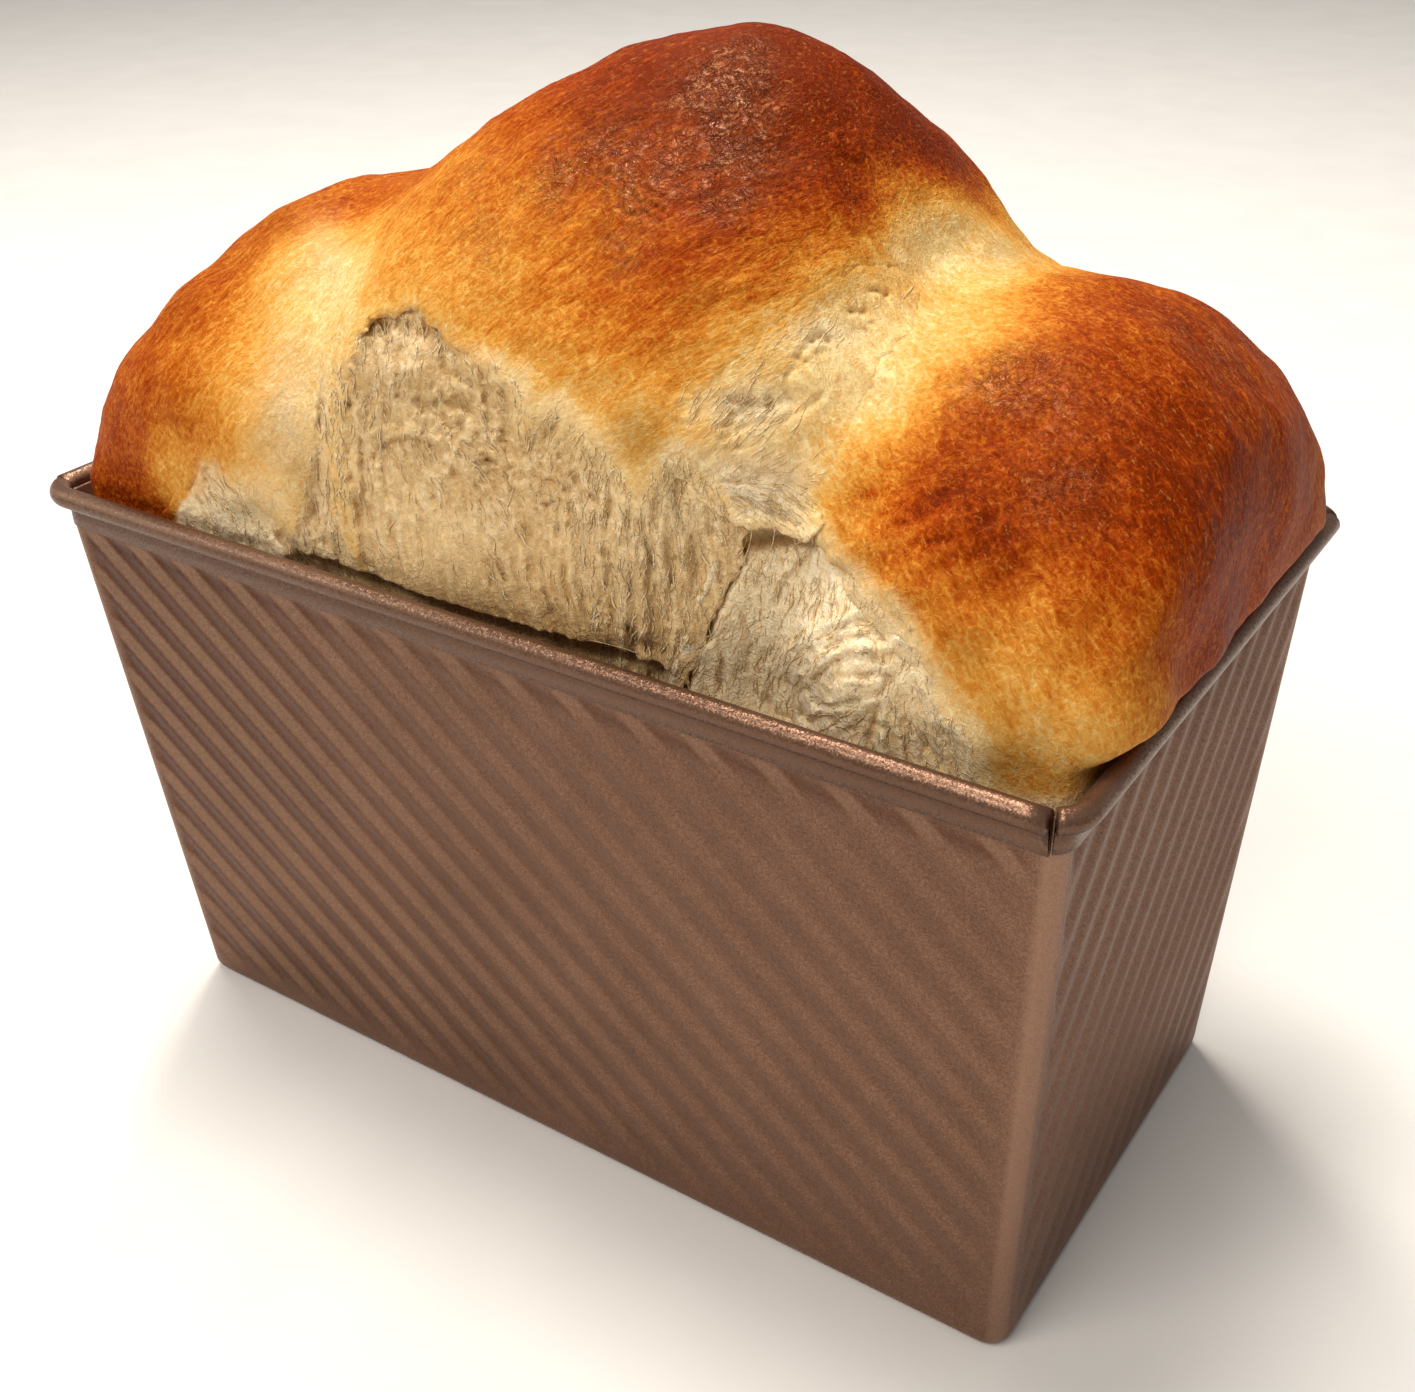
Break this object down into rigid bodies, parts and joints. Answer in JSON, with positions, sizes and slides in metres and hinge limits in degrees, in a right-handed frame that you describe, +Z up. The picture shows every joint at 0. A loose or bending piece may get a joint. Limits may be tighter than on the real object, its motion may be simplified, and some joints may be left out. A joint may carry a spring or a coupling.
{
  "type": "tin loaf",
  "caption": "Tall milk loaf with rounded browned lobes and a torn crumb face, standing in its own ribbed steel baking tin with a rolled rim.",
  "frame": {"origin": "centre of the tin's flat bottom, where it stands", "axes": "+Z up, +X along the tin's length, -Y towards the loaf's torn face, +X end carries the lower right lobe"},
  "size_m": [0.203, 0.1138, 0.1928],
  "materials": {
    "bread": "baked crust, satin to glossy on top, over pale torn crumb",
    "tin_sheet": "satin champagne bronze non-stick coating with a fine metallic grain"
  },
  "bodies": {
    "root": {"loaf": "bread", "tin": "tin_sheet"}
  },
  "joints": []
}
